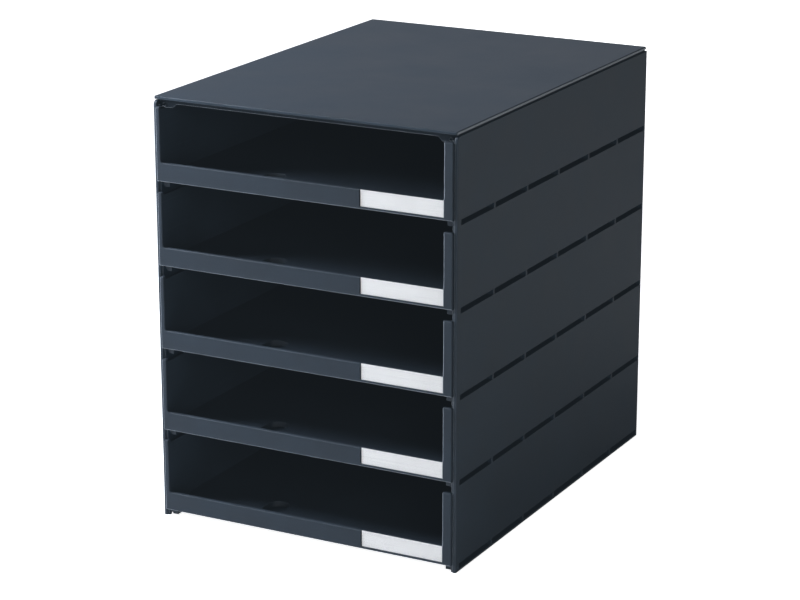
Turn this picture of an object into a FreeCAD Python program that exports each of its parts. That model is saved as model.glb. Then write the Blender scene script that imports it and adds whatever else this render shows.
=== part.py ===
import FreeCAD, Part
import os
import re
import Sketcher

# A letter tray stack: an open-fronted box of plug-together plastic plates
# that holds a column of pull-out trays, each with a label at its lower right.
# Millimetres. X runs to the right, Y to the back and Z up. The origin lies on
# the table, under the middle of the box with its trays pushed in.

SIZES = [
    # the box
    ("tray_count", 5, "trays, one above the other"),
    ("box_width", 246, "over the two side panels"),
    ("panel_depth", 330, "side panel, front to back"),
    ("first_level", 5.4, "underside of the lowest tray front, above the table"),
    ("level_gap", 8.4, "between one tray front and the next"),
    ("top_space", 7.5, "from the top tray front to the top of the lid"),
    ("skin", 2.5, "wall of the side panels and the back panel"),
    ("panel_corner", 3, "radius of a side panel's upper front corner"),
    ("panel_edge", 0.8, "rounding of a side panel's outer edges"),
    ("strip_width", 1.8, "stop strip inside a side panel's front edge"),
    ("strip_depth", 2.5, "stop strip, front to back"),
    # slots and tabs
    ("slots_a_side", 6, "slots in a row on a side panel"),
    ("slot_inset_front", 5.5, "from a side panel's front edge to the first slot"),
    ("slot_inset_back", 2.7, "from the last slot to a side panel's back edge"),
    ("slot_rib", 2.3, "rib between two slots"),
    ("slot_height", 4.2, "height of a slot"),
    ("slots_at_back", 4, "slots in a row on the back panel"),
    ("back_rib", 20, "rib between two slots of the back panel, and at its ends"),
    ("tab_gap", 0.1, "gap round a tab in its slot"),
    ("tab_recess", 1.9, "from a tab's end to the panel's outer face"),
    ("tab_height", 1.2, "height of a tab, at the top of its slot"),
    ("hollow_wall", 1.5, "wall of a shelf's ledge inside the hollow behind a slot"),
    ("hollow_floor", 0.9, "floor under the hollows"),
    ("hollow_floor_inset", 4, "from the front end of the first slot to that floor"),
    # shelves
    ("shelf_rise", 0.3, "top of a shelf above the underside of its tray front"),
    ("shelf_plate", 2, "thickness of a shelf's plate"),
    ("shelf_setback", 14, "from the panels' front edge to a shelf's plate"),
    ("rim_width", 2.8, "thin rim of a shelf against a side panel"),
    ("ledge_width", 4.5, "thick ledge inside that rim"),
    ("ledge_height", 5.3, "height of that ledge"),
    ("heel_depth", 2, "heel under a shelf's back edge, front to back"),
    # lid and the frame under it
    ("lid_plate", 2.2, "thickness of the lid"),
    ("lid_inset", 0.8, "lid's side edge inside the panel's outer face"),
    ("lid_corner", 1, "radius of the lid's corners, seen from above"),
    ("lid_edge", 0.7, "rounding of the lid's upper edges"),
    ("lid_lip", 1.6, "wall of the locating lip under the lid"),
    ("lid_lip_drop", 1.4, "height of the locating lip"),
    ("fit_gap", 0.2, "gap between the lip and the frame"),
    ("groove", 1.2, "gap between a side panel and the lid"),
    ("groove_depth", 1.5, "depth of that gap"),
    ("frame_plate", 1.8, "thickness of the top frame"),
    ("frame_side", 14.4, "width of the top frame along a side panel"),
    ("frame_back", 10, "width of the top frame along the back panel"),
    ("bar_depth", 4, "front bar of the top frame, front to back"),
    ("bar_height", 3.2, "front bar of the top frame"),
    ("gusset_height", 6.3, "corner gusset of the top frame"),
    ("gusset_depth", 3, "corner gusset, front to back"),
    ("gusset_chamfer", 2.6, "cut at a gusset's lower inner corner"),
    ("skirt_wall", 2, "skirt of the top frame inside a side panel"),
    ("eyelet_inset", 7.1, "from the panel's outer face to a gusset's eyelet"),
    ("eyelet_drop", 6.2, "from the top of the lid to an eyelet"),
    ("eyelet_radius", 1.5, "outside radius of an eyelet"),
    ("eyelet_hole", 0.9, "radius of its hole"),
    ("eyelet_length", 0.6, "how far an eyelet stands out"),
    ("eyelet_bore_depth", 1.8, "depth of its hole"),
    # trays
    ("front_proud", 2, "tray front ahead of the side panels"),
    ("front_plate", 3, "thickness of a tray front"),
    ("front_height", 55.3, "height of a tray front"),
    ("front_edge", 0.7, "rounding of a tray front's edges"),
    ("front_corner", 1.2, "radius of a post's upper outer corner"),
    ("rail_height", 14, "rail along the foot of a tray front"),
    ("opening_corner", 2, "radius where the rail meets the posts"),
    ("label_post", 7, "width of the post at the label"),
    ("running_gap", 0.3, "gap round a tray in its bay"),
    ("back_gap", 1.5, "gap behind a tray"),
    ("tray_wall", 1.6, "side and back walls of a tray"),
    ("tray_floor", 1.8, "floor of a tray"),
    ("wall_drop", 2.2, "tray wall below the top of the tray front"),
    ("skid_height", 2.6, "skirt and skids under a tray's floor"),
    ("skid_width", 1.6, "thickness of a skid"),
    ("skid_offset", 62, "from the middle of a tray to each skid"),
    ("travel", 240, "how far a tray pulls out to its stop"),
    ("lug_reach", 1.4, "how far a stop lug stands out of a tray's wall"),
    ("lug_length", 4, "stop lug's full part"),
    ("lug_ramp", 6, "stop lug's ramp, which lets the tray in"),
    ("lug_height", 16, "height of a stop lug"),
    ("lug_level", 18, "stop lug above the underside of the tray front"),
    # finger hole
    ("finger_offset", 42.5, "finger hole left of the middle"),
    ("finger_inset", 24, "from the tray's face to the finger hole"),
    ("finger_width", 16, "finger hole, side to side"),
    ("finger_length", 20, "finger hole, front to back"),
    ("finger_corner_near", 2, "radius of its near corners"),
    ("finger_collar", 1.6, "wall of the collar under it"),
    ("finger_edge", 0.5, "rounding of its upper edge"),
    # label
    ("label_width", 65, "label card"),
    ("label_gap", 0.4, "gap at the label's right end"),
    ("label_slack", 0.8, "gap at its left end, to take it out by"),
    ("label_lip", 1.9, "lip of the rail under the label"),
    ("label_top_gap", 0.1, "label below the top of the rail"),
    ("card_thickness", 0.4, "label card"),
    ("card_gap", 0.05, "between the card and its cover"),
    ("window_thickness", 0.55, "clear cover of the label"),
]

DERIVED = [
    ("half_width", "box_width / 2"),
    ("inner_half", "half_width - skin"),
    ("level_pitch", "front_height + level_gap"),
    ("box_height", "first_level + (tray_count - 1) * level_pitch + front_height + top_space"),
    ("face_y", "-(panel_depth + front_proud) / 2"),
    ("panel_front", "face_y + front_proud"),
    ("panel_back", "panel_front + panel_depth"),
    ("back_face", "panel_back - skin"),
    ("strip_front", "face_y + front_plate + running_gap"),
    ("strip_back", "strip_front + strip_depth"),
    ("strip_inner", "inner_half - strip_width"),
    ("lid_under", "box_height - lid_plate"),
    ("panel_top", "lid_under - groove"),
    ("slot_top", "shelf_rise"),
    ("slot_base", "slot_top - slot_height"),
    ("slot_first", "panel_front + slot_inset_front"),
    ("slot_last", "panel_back - slot_inset_back"),
    ("slot_length", "(slot_last - slot_first + slot_rib) / slots_a_side - slot_rib"),
    ("back_slot", "(2 * inner_half - back_rib) / slots_at_back - back_rib"),
    ("tab_reach", "skin - tab_recess"),
    ("tab_base", "slot_top - tab_gap - tab_height"),
    ("ledge_outer", "inner_half - rim_width"),
    ("ledge_inner", "ledge_outer - ledge_width"),
    ("tray_outer", "strip_inner - running_gap"),
    ("tray_inner", "tray_outer - tray_wall"),
    ("tray_base", "shelf_rise + running_gap"),
    ("floor_base", "tray_base + skid_height"),
    ("floor_top", "floor_base + tray_floor"),
    ("wall_top", "front_height - wall_drop"),
    ("front_back", "face_y + front_plate"),
    ("tray_back", "back_face - back_gap"),
    ("front_half", "inner_half - running_gap"),
    ("label_right", "front_half - label_post - label_gap"),
    ("label_left", "label_right - label_width"),
    ("card_face", "face_y + window_thickness + card_gap"),
    ("label_back", "card_face + card_thickness"),
    ("label_top", "rail_height - label_top_gap"),
    ("lug_front", "strip_back + travel + running_gap"),
    ("finger_near", "face_y + finger_inset"),
    ("finger_corner_far", "finger_width / 2 - finger_edge"),
]

# rows of slots: how many, where the first one starts, its length and the rib after it
SIDE_ROW = ("slots_a_side", "slot_first", "slot_length", "slot_rib")
BACK_ROW = ("slots_at_back", "-inner_half + back_rib", "back_slot", "back_rib")

doc = FreeCAD.newDocument("letter_tray_stack")
sheet = doc.addObject("Spreadsheet::Sheet", "sizes")
sub_parts = []


def fill_sheet():
    """Writes the driving sizes as plain numbers, and below them what follows from them."""
    for row, (alias, value, meaning) in enumerate(SIZES, start=1):
        sheet.set(f"A{row}", meaning)
        sheet.set(f"B{row}", str(value))
        sheet.setAlias(f"B{row}", alias)
    for row, (alias, formula) in enumerate(DERIVED, start=len(SIZES) + 2):
        sheet.set(f"A{row}", alias.replace("_", " "))
        sheet.set(f"B{row}", "=" + formula)
        sheet.setAlias(f"B{row}", alias)
    doc.recompute()


def bound(expression):
    """Points the names in an expression at the sheet's sizes."""
    return re.sub(r"[a-z_]+", r"sizes.\g<0>", expression)


def value_of(expression):
    """The number that an expression of sizes gives."""
    result = sheet.evalExpression(bound(str(expression)))
    return float(getattr(result, "Value", result))


def bind(thing, prop, expression):
    thing.setExpression(prop, bound(str(expression)))


def new_body(label, height="0"):
    """A body that stands at a height above the table."""
    body = doc.addObject("PartDesign::Body", label)
    body.Label = label
    bind(body, "Placement.Base.z", height)
    sub_parts.append(body)
    return body


def new_sketch(body, name, plane, offset="0"):
    """A sketch on one of the body's origin planes, moved along that plane's normal."""
    support = next(f for f in body.Origin.OriginFeatures if f.Role == plane)
    sketch = body.newObject("Sketcher::SketchObject", name)
    sketch.AttachmentSupport = (support, [""])
    sketch.MapMode = "FlatFace"
    bind(sketch, "AttachmentOffset.Base.z", offset)
    return sketch


def constrain(sketch, kind, *place, size=None):
    """Adds a constraint, with its size bound to the sheet where it has one."""
    if size is None:
        sketch.addConstraint(Sketcher.Constraint(kind, *place))
        return
    index = sketch.addConstraint(Sketcher.Constraint(kind, *place, value_of(size)))
    bind(sketch, f"Constraints[{index}]", size)


def outline(sketch, corners, radii=None):
    """Draws a closed outline through corners, each an (x, y) pair of expressions.

    radii gives the radius of each rounded corner by its index. The sides that
    meet at a rounded corner run along the sketch's axes.
    """
    radii = radii or {}
    count = len(corners)
    points = [FreeCAD.Vector(value_of(x), value_of(y), 0) for x, y in corners]
    sides = []
    for i in range(count):
        start, end = points[i], points[(i + 1) % count]
        along = (end - start).normalize()
        first = start + along * value_of(radii.get(i, 0))
        last = end - along * value_of(radii.get((i + 1) % count, 0))
        sides.append(sketch.addGeometry(Part.LineSegment(first, last)))
    for i in range(count):
        if i in radii:
            round_corner(sketch, points, i, sides, radii[i])
        else:
            constrain(sketch, "Coincident", sides[i - 1], 2, sides[i], 1)
            constrain(sketch, "DistanceX", -1, 1, sides[i], 1, size=corners[i][0])
            constrain(sketch, "DistanceY", -1, 1, sides[i], 1, size=corners[i][1])
        following = (i + 1) % count
        if i in radii or following in radii:
            square_side(sketch, corners, points, i, sides[i], i in radii and following in radii)


def round_corner(sketch, points, i, sides, radius):
    """Joins the sides that meet at corner i with a tangent arc."""
    before, corner, after = points[i - 1], points[i], points[(i + 1) % len(points)]
    arriving = (corner - before).normalize()
    leaving = (after - corner).normalize()
    reach = value_of(radius)
    centre = corner - arriving * reach + leaving * reach
    bend = FreeCAD.Vector(leaving - arriving).normalize() * reach
    left_turn = arriving.cross(leaving).z > 0
    ends = [corner - arriving * reach, corner + leaving * reach]
    if not left_turn:
        ends.reverse()
    arc = Part.Arc(ends[0], centre - bend, ends[1])
    index = sketch.addGeometry(arc)
    constrain(sketch, "Tangent", sides[i - 1], 2, index, 1 if left_turn else 2)
    constrain(sketch, "Tangent", index, 2 if left_turn else 1, sides[i], 1)
    constrain(sketch, "Radius", index, size=radius)


def square_side(sketch, corners, points, i, side, both_rounded):
    """Keeps a side along its axis, and in place where neither end does that."""
    upright = abs(points[i].x - points[(i + 1) % len(points)].x) < 1e-6
    constrain(sketch, "Vertical" if upright else "Horizontal", side)
    if both_rounded and upright:
        constrain(sketch, "DistanceX", -1, 1, side, 1, size=corners[i][0])
    elif both_rounded:
        constrain(sketch, "DistanceY", -1, 1, side, 1, size=corners[i][1])


def box_outline(sketch, left, right, low, high, radii=None):
    corners = [(left, low), (right, low), (right, high), (left, high)]
    outline(sketch, corners, radii)


def pad(body, sketch, length, backwards=False):
    """Adds material from a sketch, along its normal or the other way."""
    feature = body.newObject("PartDesign::Pad", sketch.Name + "_pad")
    feature.Profile = sketch
    bind(feature, "Length", length)
    feature.Reversed = backwards
    sketch.Visibility = False
    return feature


def pocket(body, sketch, depth, backwards=False):
    """Cuts a sketch into the body, and makes sure that it took material away."""
    doc.recompute()
    before = body.Shape.Volume
    feature = body.newObject("PartDesign::Pocket", sketch.Name + "_pocket")
    feature.Profile = sketch
    bind(feature, "Length", depth)
    feature.Reversed = backwards
    doc.recompute()
    if not feature.Shape.Volume < before - 1e-3:
        raise RuntimeError(f"{feature.Label} cuts nothing")
    return feature


def mirror(body, *features):
    """Repeats features on the other side of the body's middle plane."""
    plane = next(f for f in body.Origin.OriginFeatures if f.Role == "YZ_Plane")
    copy = body.newObject("PartDesign::Mirrored", features[0].Name + "_mirrored")
    copy.Originals = list(features)
    copy.MirrorPlane = (plane, [""])
    body.Tip = copy
    return copy


def round_edges(body, radius, chosen):
    """Fillets the edges of the body's tip that the test picks out."""
    doc.recompute()
    base = body.Tip
    names = [f"Edge{i}" for i, edge in enumerate(base.Shape.Edges, start=1) if chosen(edge.BoundBox)]
    if not names:
        raise RuntimeError(f"{body.Label} has no edge to round")
    fillet = body.newObject("PartDesign::Fillet", body.Name + "_rounding")
    fillet.Base = (base, names)
    bind(fillet, "Radius", radius)
    doc.recompute()
    return fillet


def near(number, expression):
    return abs(number - value_of(expression)) < 1e-3


def row_of_boxes(sketch, row, low, high, end_gap="0"):
    """Draws a box for each slot of a row, along the sketch's X axis."""
    count, first, length, rib = row
    for i in range(int(value_of(count))):
        start = f"{first} + {i} * ( {length} + {rib} )"
        box_outline(sketch, f"{start} + {end_gap}", f"{start} + {length} - {end_gap}", low, high)


def repeat_upwards(body, feature):
    """Repeats a feature at each tray's level."""
    if value_of("tray_count") < 2:
        return
    pattern = body.newObject("PartDesign::LinearPattern", feature.Name + "_levels")
    pattern.Originals = [feature]
    axis = next(f for f in body.Origin.OriginFeatures if f.Role == "Z_Axis")
    pattern.Direction = (axis, [""])
    bind(pattern, "Length", "(tray_count - 1) * level_pitch")
    bind(pattern, "Occurrences", "tray_count")
    body.Tip = pattern
    doc.recompute()


def side_panel(label, side):
    """A flat side wall: slots for the shelves' tabs, and a stop strip at the front."""
    body = new_body(label)
    is_left = side < 0
    skin = new_sketch(body, label + "_skin", "YZ_Plane", f"{side} * inner_half")
    box_outline(skin, "panel_front", "panel_back", "0", "panel_top", {3: "panel_corner"})
    pad(body, skin, "skin", backwards=is_left)
    round_edges(body, "panel_edge", lambda b: (
        near(b.XMin, f"{side} * half_width") and near(b.XMax, f"{side} * half_width")
        and not near(b.ZMax, "0")))
    strip = new_sketch(body, label + "_strip", "XY_Plane")
    edges = [f"{side} * strip_inner", f"{side} * inner_half"]
    if is_left:
        edges.reverse()
    box_outline(strip, edges[0], edges[1], "strip_front", "strip_back")
    pad(body, strip, "panel_top - panel_corner")
    slots = new_sketch(body, label + "_slots", "YZ_Plane", f"{side} * inner_half")
    row_of_boxes(slots, SIDE_ROW, "first_level + slot_base", "first_level + slot_top")
    cut = pocket(body, slots, "skin", backwards=not is_left)
    repeat_upwards(body, cut)


def back_panel():
    """The back wall, between the side panels, with slots for the shelves' rear tabs."""
    body = new_body("back_panel")
    plate = new_sketch(body, "back_plate", "XZ_Plane", "-back_face")
    box_outline(plate, "-inner_half", "inner_half", "0", "panel_top")
    pad(body, plate, "skin", backwards=True)
    slots = new_sketch(body, "back_slots", "XZ_Plane", "-back_face")
    row_of_boxes(slots, BACK_ROW, "first_level + slot_base", "first_level + slot_top")
    cut = pocket(body, slots, "skin")
    repeat_upwards(body, cut)


def shelf(number, height):
    """A plate that a tray slides on, plugged into the side panels and the back panel."""
    body = new_body(f"shelf_{number}", height)
    name = f"shelf_{number}_"
    edge = new_sketch(body, name + "edge", "XZ_Plane", "-strip_back")
    outline(edge, [
        ("ledge_inner", "shelf_rise"),
        ("ledge_inner", "shelf_rise - ledge_height"),
        ("ledge_outer", "shelf_rise - ledge_height"),
        ("ledge_outer", "slot_base"),
        ("inner_half", "slot_base"),
        ("inner_half", "shelf_rise"),
    ])
    rail = pad(body, edge, "back_face - strip_back", backwards=True)
    base = new_sketch(body, name + "hollow_floor", "XY_Plane", "slot_base - hollow_floor")
    box_outline(base, "ledge_outer", "inner_half", "slot_first + hollow_floor_inset", "back_face")
    under = pad(body, base, "hollow_floor")
    hollows = new_sketch(body, name + "hollows", "YZ_Plane", "inner_half")
    row_of_boxes(hollows, SIDE_ROW, "slot_base", "tab_base")
    hollow = pocket(body, hollows, "rim_width + ledge_width - hollow_wall")
    tabs = new_sketch(body, name + "tabs", "YZ_Plane", "inner_half")
    row_of_boxes(tabs, SIDE_ROW, "tab_base", "slot_top - tab_gap", "tab_gap")
    tongues = pad(body, tabs, "tab_reach")
    mirror(body, rail, under, hollow, tongues)
    plate = new_sketch(body, name + "plate", "XY_Plane", "shelf_rise - shelf_plate")
    box_outline(plate, "-ledge_inner", "ledge_inner", "panel_front + shelf_setback", "back_face")
    pad(body, plate, "shelf_plate")
    heel = new_sketch(body, name + "heel", "XY_Plane", "slot_base")
    box_outline(heel, "-ledge_inner", "ledge_inner", "back_face - heel_depth", "back_face")
    pad(body, heel, "slot_height")
    rear = new_sketch(body, name + "rear_tabs", "XZ_Plane", "-back_face")
    row_of_boxes(rear, BACK_ROW, "tab_base", "slot_top - tab_gap", "tab_gap")
    pad(body, rear, "tab_reach", backwards=True)


def top_frame():
    """The frame under the lid. It ties the panels together, and the lid sits on it."""
    body = new_body("top_frame")
    ring = new_sketch(body, "frame_ring", "XY_Plane", "lid_under - frame_plate")
    box_outline(ring, "-inner_half", "inner_half", "strip_back", "back_face")
    box_outline(ring, "frame_side - inner_half", "inner_half - frame_side",
                "strip_back + bar_depth", "back_face - frame_back")
    pad(body, ring, "frame_plate")
    flange = new_sketch(body, "frame_flange", "XY_Plane", "panel_top")
    outer = "half_width - groove_depth"
    box_outline(flange, f"-({outer})", outer, "strip_back", "panel_back - groove_depth")
    box_outline(flange, "frame_side - inner_half", "inner_half - frame_side",
                "strip_back + bar_depth", "back_face - frame_back")
    pad(body, flange, "groove")
    bar = new_sketch(body, "frame_bar", "XY_Plane", "lid_under - bar_height")
    box_outline(bar, "-inner_half", "inner_half", "strip_back", "strip_back + bar_depth")
    pad(body, bar, "bar_height")
    skirt = new_sketch(body, "frame_skirt", "XY_Plane", "lid_under - gusset_height")
    box_outline(skirt, "inner_half - skirt_wall", "inner_half", "strip_back", "back_face")
    side_skirt = pad(body, skirt, "gusset_height")
    corner = new_sketch(body, "frame_gusset", "XZ_Plane", "-strip_back")
    outline(corner, [
        ("inner_half - frame_side", "lid_under"),
        ("inner_half - frame_side", "lid_under - gusset_height + gusset_chamfer"),
        ("inner_half - frame_side + gusset_chamfer", "lid_under - gusset_height"),
        ("inner_half", "lid_under - gusset_height"),
        ("inner_half", "lid_under"),
    ])
    gusset = pad(body, corner, "gusset_depth", backwards=True)
    boss = new_sketch(body, "frame_eyelet", "XZ_Plane", "-strip_back")
    circle(boss, "half_width - eyelet_inset", "box_height - eyelet_drop", "eyelet_radius")
    eyelet = pad(body, boss, "eyelet_length")
    mirror(body, side_skirt, gusset, eyelet)
    bore = new_sketch(body, "frame_eyelet_bore", "XZ_Plane", "eyelet_length - strip_back")
    for side in (-1, 1):
        circle(bore, f"{side} * (half_width - eyelet_inset)", "box_height - eyelet_drop", "eyelet_hole")
    pocket(body, bore, "eyelet_bore_depth")


def circle(sketch, x, y, radius):
    centre = FreeCAD.Vector(value_of(x), value_of(y), 0)
    upwards = FreeCAD.Vector(0, 0, 1)
    index = sketch.addGeometry(Part.Circle(centre, upwards, value_of(radius)))
    constrain(sketch, "DistanceX", -1, 1, index, 3, size=x)
    constrain(sketch, "DistanceY", -1, 1, index, 3, size=y)
    constrain(sketch, "Radius", index, size=radius)


def lid():
    """A thin flat lid with a locating lip underneath."""
    body = new_body("lid")
    plate = new_sketch(body, "lid_outline", "XY_Plane", "lid_under")
    rounded = {i: "lid_corner" for i in range(4)}
    box_outline(plate, "lid_inset - half_width", "half_width - lid_inset",
                "panel_front", "panel_back", rounded)
    pad(body, plate, "lid_plate")
    round_edges(body, "lid_edge", lambda b: near(b.ZMin, "box_height"))
    lip = new_sketch(body, "lid_lip_outline", "XY_Plane", "lid_under")
    across = "inner_half - frame_side - fit_gap"
    front = "strip_back + bar_depth + fit_gap"
    back = "back_face - frame_back - fit_gap"
    box_outline(lip, f"-({across})", across, front, back)
    box_outline(lip, f"lid_lip - ({across})", f"{across} - lid_lip",
                f"{front} + lid_lip", f"{back} - lid_lip")
    pad(body, lip, "lid_lip_drop", backwards=True)


def tray(number, height):
    """A tray whose front is an open frame: a rail below and a post at each side."""
    body = new_body(f"tray_{number}", height)
    name = f"tray_{number}_"
    tub = new_sketch(body, name + "tub", "XY_Plane", "tray_base")
    box_outline(tub, "-tray_outer", "tray_outer", "front_back", "tray_back")
    pad(body, tub, "wall_top - tray_base")
    inside = new_sketch(body, name + "inside", "XY_Plane", "wall_top")
    box_outline(inside, "-tray_inner", "tray_inner", "front_back", "tray_back - tray_wall")
    pocket(body, inside, "wall_top - floor_top")
    below = new_sketch(body, name + "underside", "XY_Plane", "tray_base")
    box_outline(below, "-tray_inner", "tray_inner", "front_back", "tray_back - tray_wall")
    pocket(body, below, "skid_height", backwards=True)
    face = new_sketch(body, name + "front", "XZ_Plane", "-front_back")
    front_outline(face)
    pad(body, face, "front_plate")
    round_edges(body, "front_edge", lambda b: near(b.YMin, "face_y") and near(b.YMax, "face_y"))
    skid = new_sketch(body, name + "skid", "XY_Plane", "tray_base")
    box_outline(skid, "skid_offset", "skid_offset + skid_width", "front_back", "tray_back - tray_wall")
    runner = pad(body, skid, "skid_height")
    lug = new_sketch(body, name + "lug", "XY_Plane", "lug_level")
    outline(lug, [
        ("tray_outer", "lug_front"),
        ("tray_outer + lug_reach", "lug_front"),
        ("tray_outer + lug_reach", "lug_front + lug_length"),
        ("tray_outer", "lug_front + lug_length + lug_ramp"),
    ])
    stop = pad(body, lug, "lug_height")
    mirror(body, runner, stop)
    collar = new_sketch(body, name + "collar", "XY_Plane", "tray_base")
    finger_outline(collar, "finger_collar")
    pad(body, collar, "skid_height")
    hole = new_sketch(body, name + "finger_hole", "XY_Plane", "floor_top")
    finger_outline(hole, "0")
    pocket(body, hole, "floor_top - tray_base")
    round_edges(body, "finger_edge", lambda b: (
        near(b.ZMin, "floor_top") and near(b.ZMax, "floor_top")
        and b.DiagonalLength < value_of("finger_width + finger_length")))
    seat = new_sketch(body, name + "label_seat", "XZ_Plane", "-face_y")
    box_outline(seat, "label_left - label_slack", "label_right + label_gap",
                "label_lip", "rail_height + opening_corner")
    pocket(body, seat, "label_back - face_y")


def front_outline(sketch):
    """The U of a tray front: the rail, the plain post and the wider label post."""
    outline(sketch, [
        ("-front_half", "0"),
        ("front_half", "0"),
        ("front_half", "front_height"),
        ("front_half - label_post", "front_height"),
        ("front_half - label_post", "rail_height"),
        ("-tray_inner", "rail_height"),
        ("-tray_inner", "front_height"),
        ("-front_half", "front_height"),
    ], {2: "front_corner", 4: "opening_corner", 5: "opening_corner", 7: "front_corner"})


def finger_outline(sketch, grow):
    """The finger hole: round at the far side, nearly square towards the rail."""
    corners = {0: "finger_corner_near", 1: "finger_corner_near",
               2: "finger_corner_far", 3: "finger_corner_far"}
    box_outline(sketch,
                f"-finger_offset - finger_width / 2 - {grow}",
                f"-finger_offset + finger_width / 2 + {grow}",
                f"finger_near - {grow}",
                f"finger_near + finger_length + {grow}",
                {i: f"{radius} + {grow}" for i, radius in corners.items()})


def label(number, height):
    """The label card in its seat on the rail, and the clear cover in front of it."""
    for part, distance, thickness in (
        ("card", "card_face", "card_thickness"),
        ("window", "face_y", "window_thickness"),
    ):
        body = new_body(f"label_{part}_{number}", height)
        sheet_outline = new_sketch(body, f"label_{part}_{number}_outline", "XZ_Plane", f"-({distance})")
        box_outline(sheet_outline, "label_left", "label_right", "label_lip", "label_top")
        pad(body, sheet_outline, thickness, backwards=True)


def build():
    fill_sheet()
    side_panel("side_panel_left", -1)
    side_panel("side_panel_right", 1)
    back_panel()
    top_frame()
    lid()
    count = int(value_of("tray_count"))
    for number in range(1, count + 1):
        height = f"first_level + ( tray_count - {number} ) * level_pitch"
        shelf(number, height)
        tray(number, height)
        label(number, height)
    doc.recompute()


def check():
    """Stops if any object failed, or if a sub-part isn't one or more valid solids."""
    for thing in doc.Objects:
        if {"Invalid", "Error"} & set(thing.State):
            raise RuntimeError(f"{thing.Label} is {thing.State}")
    for body in sub_parts:
        if body.Shape.isNull() or not body.Shape.isValid() or not body.Shape.Solids:
            raise RuntimeError(f"{body.Label} has no valid solid")


def write():
    os.makedirs("parts", exist_ok=True)
    for body in sub_parts:
        shape = body.Shape
        shape.exportStep(f"parts/{body.Label}.step")
        box = shape.BoundBox
        print(f"{body.Label:20s} solids {len(shape.Solids)}  volume {shape.Volume:10.0f} mm3"
              f"  X {box.XMin:.2f}..{box.XMax:.2f}  Y {box.YMin:.2f}..{box.YMax:.2f}"
              f"  Z {box.ZMin:.2f}..{box.ZMax:.2f}")


build()
check()
write()
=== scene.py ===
import math

import bpy
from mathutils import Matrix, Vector

# A letter tray stack in charcoal polystyrene: a plug-together box with five
# pull-out trays, each with a label card behind a clear cover. The frame holds
# every piece; this script gives each its finish, and sets up the studio.
# Metres. X runs to the right, Y to the back and Z up.

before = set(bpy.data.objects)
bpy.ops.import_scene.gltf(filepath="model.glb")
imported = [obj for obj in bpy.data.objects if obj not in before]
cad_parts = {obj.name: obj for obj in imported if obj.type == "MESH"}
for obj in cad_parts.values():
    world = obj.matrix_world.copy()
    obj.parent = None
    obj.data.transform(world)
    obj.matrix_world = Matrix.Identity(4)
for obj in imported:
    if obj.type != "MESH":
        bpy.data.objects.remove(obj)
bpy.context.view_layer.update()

MILLIMETRE = 0.001

# Colours, as each thing reflects them in linear light.
CHARCOAL = (0.0130, 0.0250, 0.0385)
CHARCOAL_TRAY = (0.0112, 0.0212, 0.0328)
# Charcoal darkened with painted shade, as under the lid's overhang, for the top frame.
CHARCOAL_PAINTED_SHADE = (0.0060, 0.0115, 0.0178)
# Colour of rubbed edges, also used for painted highlights on lips and painted light on finger-hole
# walls.
RUBBED_EDGE_AND_HIGHLIGHT = (0.300, 0.330, 0.360)
CARD_WHITE = (0.960, 0.935, 0.895)
COVER_TINT = (0.960, 0.970, 0.980)
FLOOR_WHITE = (0.900, 0.905, 0.910)
TABLE_WHITE = (0.80, 0.80, 0.80)

# The plastic's texture: sizes over the surface and depths into it.
EDGE_ROUNDING = 0.35 * MILLIMETRE      # softened corner that the moulds leave
GRAIN_SIZE = 0.45 * MILLIMETRE         # spark-eroded texture of the outer faces
GRAIN_DEPTH = 0.012 * MILLIMETRE
SINK_SIZE = 55 * MILLIMETRE            # slow waves of a thin moulded wall
SINK_DEPTH = 0.10 * MILLIMETRE
CLOUD_SIZE = 38 * MILLIMETRE           # uneven tone and sheen of the resin
STREAK_LENGTH = 60 * MILLIMETRE        # marks that sliding leaves, along the travel
STREAK_WIDTH = 0.9 * MILLIMETRE

# Its sheen, and what each part of the texture adds to the roughness or takes off.
SHEEN = 0.50
ROUGHNESS = 0.46
CLOUD_ROUGHNESS = 0.12
GRAIN_ROUGHNESS = 0.10
EDGE_POLISH = 0.08
SLIDE_POLISH = 0.15

# Its tones: the darkest and lightest clouds, and the shares of the rubbed colour that edge wear,
# painted lip highlights and slide wear show.
DARK_CLOUD, LIGHT_CLOUD = 0.89, 1.13
EDGE_WEAR = 0.10
LIP_HIGHLIGHT = 0.90
SLIDE_WEAR = 0.03

# Limits of a mask: where it starts to show, and where it shows in full.
TONE_CLOUDS = (0.30, 0.70)
WORN_CLOUDS = (0.25, 0.60)
SLIDE_STREAKS = (0.58, 0.74)
EDGE_TURN = (0.02, 0.25)               # 1 less the cosine of the turn that a rounding gives
LIP_LIKENESS = (0.80, 0.95)            # cosines of the angle to the way that a lip looks
HOLE_LIKENESS = (0.50, 0.90)
FRONT_PLANES = (0.158, 0.160)          # metres ahead of the middle, just behind the fronts
HOLE_PLANES = (0.1205, 0.1215)         # the same, just behind the finger holes

# Edges given painted highlights where their rounding would catch the lamps, each by the way that
# its rounding looks.
HIGHLIGHT_WIDTH = 0.75 * MILLIMETRE       # how far onto the faces the painted highlight goes
LOWER_LIP = (0, -1, -1)
LEFT_LIP = (-1, -1, 0)
LID_EDGE = (1, 0, -0.35)               # the lid's right edge, above the gap
HOLE_WALL = (0.3, -1, 0)               # far wall of a finger hole, lightened with painted light

# The label: card under a clear cover.
FIBRE_LENGTH = 0.90 * MILLIMETRE       # paper fibres of the card
FIBRE_WIDTH = 0.30 * MILLIMETRE
FIBRE_DEPTH = 0.015 * MILLIMETRE
FIBRE_ROUGHNESS = 0.2
FIBRE_SHARE, TONE_SHARE = 0.6, 0.4     # of the card's shade
CARD_SHADES = (0.35, 0.65)
CARD_SHADE = 0.93
CARD_ROUGHNESS = 0.72
COVER_ROUGHNESS, HAZE_ROUGHNESS = 0.12, 0.15
COVER_ALPHA, HAZE_ALPHA = 0.03, 0.04
HAZE_STREAKS = (0.50, 0.75)

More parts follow.
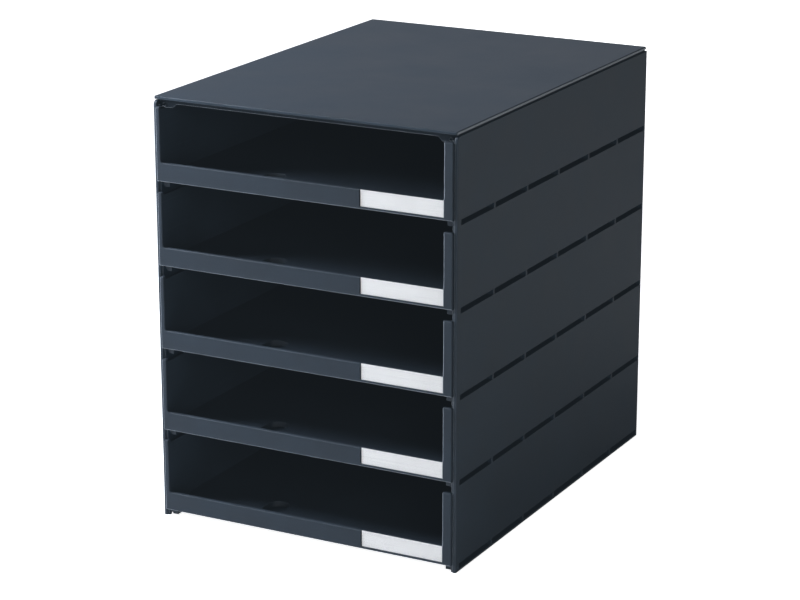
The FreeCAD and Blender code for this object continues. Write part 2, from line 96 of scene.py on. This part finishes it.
# The studio.
STUDIO_MIDDLE = (0, 0, 0.18)           # where the lamps look
NEUTRAL = (0.98, 1.00, 1.02)           # the lamps' colours
COOL = (0.93, 1.00, 1.14)
COLD = (0.84, 1.00, 1.20)
ROOM_GLOW = 0.02
FLOOR_WIDTH = 14
FLOOR_GLOW = 1.06                      # the floor's own light, as a multiple of its white
FLOOR_GRAIN = 0.25                     # size of the paint's mottling
FLOOR_SHADE = 0.985
FLOOR_ROUGHNESS = 0.9
STRAY_LIGHT = (0.0066, 0.0086, 0.0106) # what the lens scatters over the whole picture

CAMERA_PLACE = (0.906, -1.728, 0.7364)
CAMERA_TURN = 27.89                    # degrees round from straight ahead, to the left
CAMERA_DIP = 16.93                     # degrees below level
CAMERA_REACH = (0.05, 60)              # nearest and farthest that it sees
LENS_MM = 118.98
SENSOR_MM = 36


def shaded(colour, share):
    return tuple(channel * share for channel in colour)


class Amount:
    """A number that varies over a surface. Arithmetic on it adds Math nodes."""

    def __init__(self, finish, socket):
        self.finish = finish
        self.socket = socket

    def __add__(self, other):
        return self.finish.math("ADD", self, other)

    __radd__ = __add__

    def __sub__(self, other):
        return self.finish.math("SUBTRACT", self, other)

    def __rsub__(self, other):
        return self.finish.math("SUBTRACT", other, self)

    def __mul__(self, other):
        return self.finish.math("MULTIPLY", self, other)

    __rmul__ = __mul__


class Finish:
    """A material in the making. Its node method adds any node to it."""

    def __init__(self, name):
        self.material = bpy.data.materials.new(name)
        self.material.use_nodes = True
        self.tree = self.material.node_tree
        self.tree.nodes.clear()

    def node(self, kind, settings, sockets, output=0):
        """Adds a node, makes its settings and fills its sockets. Returns the output asked for."""
        made = self.tree.nodes.new(kind)
        for name, value in settings.items():
            setattr(made, name, value)
        for name, value in sockets.items():
            if isinstance(value, Amount):
                self.tree.links.new(value.socket, made.inputs[name])
            else:
                made.inputs[name].default_value = value
        return None if output is None else Amount(self, made.outputs[output])

    def math(self, operation, *values):
        return self.node("ShaderNodeMath", {"operation": operation}, dict(enumerate(values)))

    def between(self, value, low, high):
        """0 where value is at or under low, 1 at or over high, and smooth between."""
        return self.node("ShaderNodeMapRange", {"interpolation_type": "SMOOTHSTEP"},
                         {"Value": value, "From Min": low, "From Max": high})

    def blend(self, share, colour, other):
        """The first colour, or the other where share is 1."""
        first, second, result = 6, 7, 2    # the Mix node's own sockets for colours
        whole = [value if isinstance(value, Amount) else (*value, 1) for value in (colour, other)]
        return self.node("ShaderNodeMix", {"data_type": "RGBA"},
                         {0: share, first: whole[0], second: whole[1]}, result)

    def place(self):
        """Where a point lies on the piece, in metres."""
        return self.node("ShaderNodeTexCoord", {}, {}, "Object")

    def noise(self, place, size, detail=2.0, roughness=0.5):
        return self.node("ShaderNodeTexNoise", {}, {
            "Vector": place, "Scale": 1 / size, "Detail": detail, "Roughness": roughness})

    def streaks(self, place, sizes, detail=2.0):
        """Noise that has a size of its own along X, Y and Z."""
        stretched = self.node("ShaderNodeMapping", {}, {
            "Vector": place, "Scale": tuple(1 / size for size in sizes)})
        return self.noise(stretched, 1.0, detail)

    def bumped(self, height, depth, normal):
        return self.node("ShaderNodeBump", {}, {
            "Height": height, "Distance": depth, "Strength": 1.0, "Normal": normal})

    def flat(self):
        """The surface's own normal."""
        return self.node("ShaderNodeNewGeometry", {}, {}, "Normal")

    def rounded_edges(self, radius):
        """The normal, turned near edges as if they were rounded to that radius."""
        return self.node("ShaderNodeBevel", {"samples": 6}, {"Radius": radius})

    def cosine(self, normal, other):
        """1 where two directions are the same, 0 where they are square to each other."""
        return self.node("ShaderNodeVectorMath", {"operation": "DOT_PRODUCT"},
                         {0: normal, 1: other}, "Value")

    def edge_mask(self, rounded):
        """1 along the piece's edges and 0 on its faces."""
        return self.between(1 - self.cosine(rounded, self.flat()), *EDGE_TURN)

    def looking(self, normal, direction, limits):
        """1 where the normal looks in a direction, and 0 where it looks elsewhere."""
        return self.between(self.cosine(normal, Vector(direction).normalized()), *limits)

    def ahead(self, place, planes):
        """0 behind one plane across the piece, 1 in front of another, in metres from its middle."""
        depth = self.node("ShaderNodeSeparateXYZ", {}, {0: place}, "Y")
        return self.between(0 - depth, *planes)

    def surface(self, **sockets):
        """Ends the material in a Principled shader with these sockets."""
        shader = self.node("ShaderNodeBsdfPrincipled", {}, {
            name.replace("_", " "): value for name, value in sockets.items()})
        self.node("ShaderNodeOutputMaterial", {}, {"Surface": shader}, None)
        return self.material


def moulded_plastic(name, colour, sheen=SHEEN, roughness=ROUGHNESS,
                    highlit_front_lips=(), highlit_long_lips=(), slide_marks=0.0, hole_wall_light=0.0):
    """Charcoal polystyrene with a fine eroded grain, soft edges and an uneven sheen.

    Painted highlights show on highlit front lips at the front of the piece only, and on highlit
    long lips all along it.
    The slide marks and the painted light on the hole walls are shares, from 0 to 1.
    """
    finish = Finish(name)
    place = finish.place()
    clouds = finish.noise(place, CLOUD_SIZE, detail=3.0)
    grain = finish.noise(place, GRAIN_SIZE, detail=3.0, roughness=0.6)
    sinks = finish.noise(place, SINK_SIZE, detail=1.0)
    rounded = finish.rounded_edges(EDGE_ROUNDING)
    edges = finish.edge_mask(rounded) * finish.between(clouds, *WORN_CLOUDS)
    wear_and_painted_light = edges * EDGE_WEAR
    roughness = (roughness + (clouds - 0.5) * CLOUD_ROUGHNESS
                 + (grain - 0.5) * GRAIN_ROUGHNESS - edges * EDGE_POLISH)
    if highlit_front_lips or highlit_long_lips or hole_wall_light:
        broad = finish.rounded_edges(HIGHLIGHT_WIDTH)
        front = finish.ahead(place, FRONT_PLANES)
        # Painted highlights along lips that catch the lamps.
        for way in highlit_front_lips:
            wear_and_painted_light += finish.looking(broad, way, LIP_LIKENESS) * front * LIP_HIGHLIGHT
        for way in highlit_long_lips:
            wear_and_painted_light += finish.looking(broad, way, LIP_LIKENESS) * LIP_HIGHLIGHT
        # Painted light on the far wall of each finger hole.
        if hole_wall_light:
            hole = finish.ahead(place, HOLE_PLANES) - front
            wear_and_painted_light += finish.looking(broad, HOLE_WALL, HOLE_LIKENESS) * hole * hole_wall_light
    if slide_marks:
        streaks = finish.streaks(place, (STREAK_WIDTH, STREAK_LENGTH, STREAK_WIDTH))
        marks = finish.between(streaks, *SLIDE_STREAKS) * slide_marks
        wear_and_painted_light += marks * SLIDE_WEAR
        roughness -= marks * SLIDE_POLISH
    mottled = finish.blend(finish.between(clouds, *TONE_CLOUDS),
                           shaded(colour, DARK_CLOUD), shaded(colour, LIGHT_CLOUD))
    waves = finish.bumped(sinks, SINK_DEPTH, rounded)
    return finish.surface(
        Base_Color=finish.blend(wear_and_painted_light, mottled, RUBBED_EDGE_AND_HIGHLIGHT),
        Roughness=roughness,
        Specular_IOR_Level=sheen,
        Normal=finish.bumped(grain, GRAIN_DEPTH, waves),
    )


def label_paper():
    """Uncoated white card with a faint fibre and tone."""
    finish = Finish("label_paper")
    place = finish.place()
    fibres = finish.streaks(place, (FIBRE_LENGTH, FIBRE_WIDTH, FIBRE_WIDTH), detail=4.0)
    tone = finish.noise(place, CLOUD_SIZE)
    shades = finish.between(fibres * FIBRE_SHARE + tone * TONE_SHARE, *CARD_SHADES)
    return finish.surface(
        Base_Color=finish.blend(shades, shaded(CARD_WHITE, CARD_SHADE), CARD_WHITE),
        Roughness=CARD_ROUGHNESS + (fibres - 0.5) * FIBRE_ROUGHNESS,
        Normal=finish.bumped(fibres, FIBRE_DEPTH, finish.flat()),
    )


def clear_cover():
    """Thin clear film, a little rubbed."""
    finish = Finish("clear_cover")
    rubs = finish.streaks(finish.place(), (STREAK_LENGTH, STREAK_WIDTH, STREAK_WIDTH))
    haze = finish.between(rubs, *HAZE_STREAKS)
    return finish.surface(
        Base_Color=finish.blend(haze, COVER_TINT, CARD_WHITE),
        Roughness=COVER_ROUGHNESS + haze * HAZE_ROUGHNESS,
        Alpha=COVER_ALPHA + haze * HAZE_ALPHA,
        Normal=finish.rounded_edges(EDGE_ROUNDING),
    )


def dress():
    """Gives every piece of the frame its material."""
    housing = moulded_plastic("housing_polystyrene", CHARCOAL, highlit_front_lips=[LEFT_LIP])
    finishes = {
        "lid": moulded_plastic("lid_polystyrene", CHARCOAL, highlit_long_lips=[LID_EDGE]),
        # The top frame: its colour darkened with painted shade and its sheen lowered with it.
        "top_frame": moulded_plastic("frame_painted_shade_polystyrene", CHARCOAL_PAINTED_SHADE, sheen=0.20,
                                     roughness=0.60, highlit_front_lips=[LOWER_LIP]),
        "shelf": moulded_plastic("shelf_polystyrene", CHARCOAL, slide_marks=1.0),
        "tray": moulded_plastic("tray_polystyrene", CHARCOAL_TRAY, roughness=0.68,
                                highlit_front_lips=[LOWER_LIP, LEFT_LIP],
                                slide_marks=0.4, hole_wall_light=0.12),
        "label_card": label_paper(),
        "label_window": clear_cover(),
    }
    for name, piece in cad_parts.items():
        family = name.rstrip("0123456789").rstrip("_")
        piece.data.materials.clear()
        piece.data.materials.append(finishes.get(family, housing))


def add_plane(name, height, material):
    bpy.ops.mesh.primitive_plane_add(size=FLOOR_WIDTH, location=(0, 0, height))
    plane = bpy.context.object
    plane.name = name
    plane.data.materials.append(material)
    return plane


def add_floor():
    """A plain pale floor for the camera, and just below it the table that the lamps light."""
    finish = Finish("floor_paint")
    grain = finish.noise(finish.place(), FLOOR_GRAIN)
    paint = finish.blend(grain, shaded(FLOOR_WHITE, FLOOR_SHADE), FLOOR_WHITE)
    floor = add_plane("floor", 0, finish.surface(
        Base_Color=paint, Roughness=FLOOR_ROUGHNESS,
        Emission_Color=paint, Emission_Strength=FLOOR_GLOW))
    floor.visible_diffuse = False
    floor.visible_glossy = False
    floor.visible_shadow = False
    table = add_plane("table", -MILLIMETRE, Finish("table_paint").surface(
        Base_Color=(*TABLE_WHITE, 1), Roughness=1.0, Specular_IOR_Level=0.0))
    table.visible_camera = False


def round_lamp(name, place, width, watts, colour=NEUTRAL):
    """A soft round lamp that faces the object."""
    lamp = bpy.data.lights.new(name, "AREA")
    lamp.shape = "DISK"
    lamp.size = width
    lamp.energy = watts
    lamp.color = colour
    stand = bpy.data.objects.new(name, lamp)
    stand.location = place
    away = Vector(place) - Vector(STUDIO_MIDDLE)
    stand.rotation_euler = away.to_track_quat("Z", "Y").to_euler()
    bpy.context.scene.collection.objects.link(stand)


def add_lights():
    """A near key lamp at the upper left, and others that fill in all round."""
    round_lamp("key_lamp", (-0.60, -0.35, 0.60), 0.35, 8.3, COOL)
    round_lamp("overhead_lamp", (-0.90, -0.90, 2.41), 1.3, 16.8)
    round_lamp("right_lamp", (1.80, -1.80, 0.70), 1.3, 14.5)
    round_lamp("low_left_lamp", (-1.10, -0.90, 0.15), 0.3, 1.5, COLD)
    round_lamp("back_lamp", (-0.95, 1.75, 0.90), 1.6, 2.7, COOL)
    round_lamp("back_right_lamp", (1.80, 1.80, 0.70), 1.3, 4.0)
    round_lamp("rear_lamp", (-0.50, 2.20, 0.17), 0.34, 8.0)


def add_backdrop():
    """White all round for the camera, and a dim room for everything else."""
    world = bpy.data.worlds.new("studio")
    world.use_nodes = True
    tree = world.node_tree
    room = tree.nodes["Background"]
    room.inputs["Color"].default_value = (*NEUTRAL, 1)
    room.inputs["Strength"].default_value = ROOM_GLOW
    white = tree.nodes.new("ShaderNodeBackground")
    white.inputs["Color"].default_value = (1, 1, 1, 1)
    ray = tree.nodes.new("ShaderNodeLightPath")
    choice = tree.nodes.new("ShaderNodeMixShader")
    tree.links.new(ray.outputs["Is Camera Ray"], choice.inputs[0])
    tree.links.new(room.outputs[0], choice.inputs[1])
    tree.links.new(white.outputs[0], choice.inputs[2])
    tree.links.new(choice.outputs[0], tree.nodes["World Output"].inputs["Surface"])
    bpy.context.scene.world = world


def add_camera():
    lens = bpy.data.cameras.new("camera")
    lens.lens = LENS_MM
    lens.sensor_width = SENSOR_MM
    lens.clip_start, lens.clip_end = CAMERA_REACH
    camera = bpy.data.objects.new("camera", lens)
    camera.location = CAMERA_PLACE
    camera.rotation_euler = (math.radians(90 - CAMERA_DIP), 0, math.radians(CAMERA_TURN))
    bpy.context.scene.collection.objects.link(camera)
    bpy.context.scene.camera = camera


def develop_picture():
    """Plain tones, lifted a little by the light that a lens scatters from a white set."""
    view = bpy.context.scene.view_settings
    view.view_transform = "Standard"
    view.use_curve_mapping = True
    view.curve_mapping.black_level = [-channel for channel in STRAY_LIGHT]


dress()
add_floor()
add_lights()
add_backdrop()
add_camera()
develop_picture()
